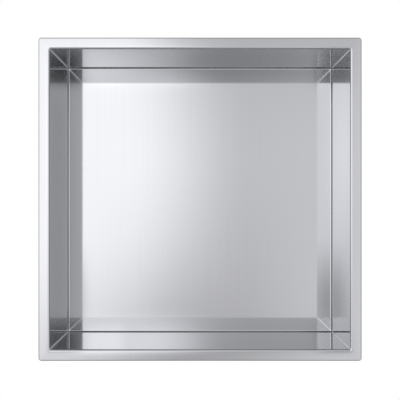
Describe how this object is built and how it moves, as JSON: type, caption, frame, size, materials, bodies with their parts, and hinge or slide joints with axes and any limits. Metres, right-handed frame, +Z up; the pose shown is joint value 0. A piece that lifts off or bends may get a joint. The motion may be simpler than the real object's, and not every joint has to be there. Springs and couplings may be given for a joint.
{
  "type": "shower niche insert",
  "caption": "Square recessed niche for a shower wall: a shallow stainless steel pan, open at the front, with a narrow flange round its mouth, to hold bottles and soap.",
  "frame": {"origin": "centre of the mouth, in the plane of the flange's rear face, which lies on the finished wall", "axes": "+X to the right seen from the room, +Y into the wall, +Z up"},
  "size_m": [0.3048, 0.1016, 0.3048],
  "materials": {
    "brushed_stainless": "fine brushed, close to a satin mirror"
  },
  "bodies": {
    "root": {"niche_insert": "brushed_stainless"}
  },
  "joints": []
}
